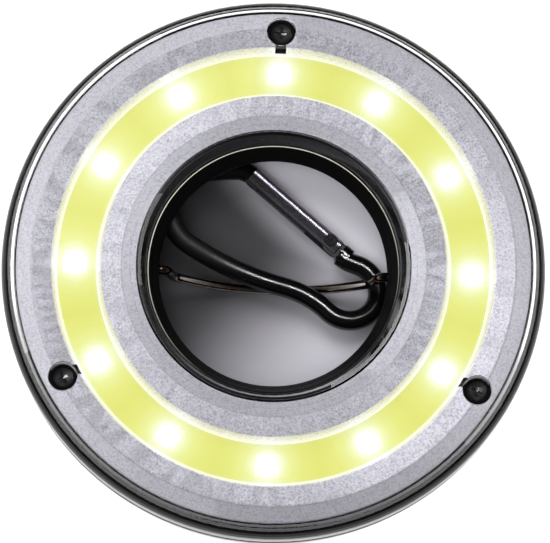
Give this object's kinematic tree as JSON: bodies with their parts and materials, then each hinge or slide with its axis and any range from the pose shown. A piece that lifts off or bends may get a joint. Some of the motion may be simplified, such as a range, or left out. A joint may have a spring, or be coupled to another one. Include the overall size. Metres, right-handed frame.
{
  "type": "patio umbrella light",
  "caption": "Ring-shaped battery lamp with LEDs in a yellow-green channel, a silver reflector under a clear lens, and a hole crossed by a wire bail with a carabiner.",
  "frame": {"origin": "centre of the flat back, on the plane it rests on", "axes": "+Z out of the light face, the lamp lying on its back; +X along the pivot axis of the bail; +Y towards the face screw beside the push button"},
  "size_m": [0.13, 0.13, 0.0274],
  "materials": {
    "black_plastic": "glossy black injection-moulded plastic",
    "clear_lens": "clear polished polycarbonate",
    "silver_plastic": "vacuum-metallised plastic with a fine metallic grain",
    "glow_plastic": "yellow-green translucent plastic, lit",
    "led_package": "lit LED packages",
    "board": "white solder mask",
    "component_black": "small chip parts",
    "screw_steel": "zinc-plated steel",
    "screw_black": "black oxide steel",
    "cell": "plain cell jackets",
    "contact": "nickel-plated strip",
    "button_black": "satin black plastic",
    "spring_steel": "spring wire",
    "wire_red": "red insulation",
    "wire_black": "black insulation",
    "chrome_wire": "chrome-plated wire",
    "black_metal": "glossy black anodised aluminium",
    "polished_steel": "polished metal tube",
    "rivet_steel": "steel rivet"
  },
  "bodies": {
    "lamp": {"back_housing": "black_plastic", "front_frame": "black_plastic", "lens_cover": "clear_lens", "reflector": "silver_plastic", "glow_ring": "glow_plastic", "leds": "led_package", "led_board": "board", "resistors": "component_black", "board_screws": "screw_steel", "face_screws": "screw_black", "battery_cells": "cell", "cell_contacts": "contact", "cell_springs": "contact", "switch_body": "component_black", "lead_positive": "wire_red", "lead_switch": "wire_red", "lead_negative": "wire_black"},
    "door": {"battery_door": "black_plastic"},
    "button": {"push_button": "button_black", "button_spring": "spring_steel"},
    "bail": {"bail_wire": "chrome_wire"},
    "carabiner": {"carabiner_body": "black_metal", "gate_rivet": "rivet_steel"},
    "gate": {"carabiner_gate": "polished_steel", "gate_spring": "spring_steel", "gate_plunger": "rivet_steel"}
  },
  "joints": [
    {"name": "battery_door_lift", "type": "slide", "parent": "lamp", "child": "door", "axis": [0, 0, -1], "range_m": [0, 0.012]},
    {"name": "button_press", "type": "slide", "parent": "lamp", "child": "button", "axis": [0, 0, 1], "range_m": [0, 0.0012], "stiffness_N_per_m": 400, "springref_m": -0.0005, "deforming": ["button_spring"]},
    {"name": "bail_hinge", "type": "hinge", "parent": "lamp", "child": "bail", "pos_m": [0, 0, 0.0143], "axis": [1, 0, 0], "range_deg": [-30, 0]},
    {"name": "carabiner_swing", "type": "hinge", "parent": "bail", "child": "carabiner", "pos_m": [0.0225, -0.0002, 0.0084], "axis": [-0.873, -0.08, -0.481], "range_deg": [0, 95]},
    {"name": "gate_hinge", "type": "hinge", "parent": "carabiner", "child": "gate", "pos_m": [0.0136, 0.00993, 0.00263], "axis": [0.1317, 0.1609, 0.9781], "range_deg": [0, 27], "stiffness_Nm_per_rad": 0.05, "springref_deg": -22.92}
  ]
}
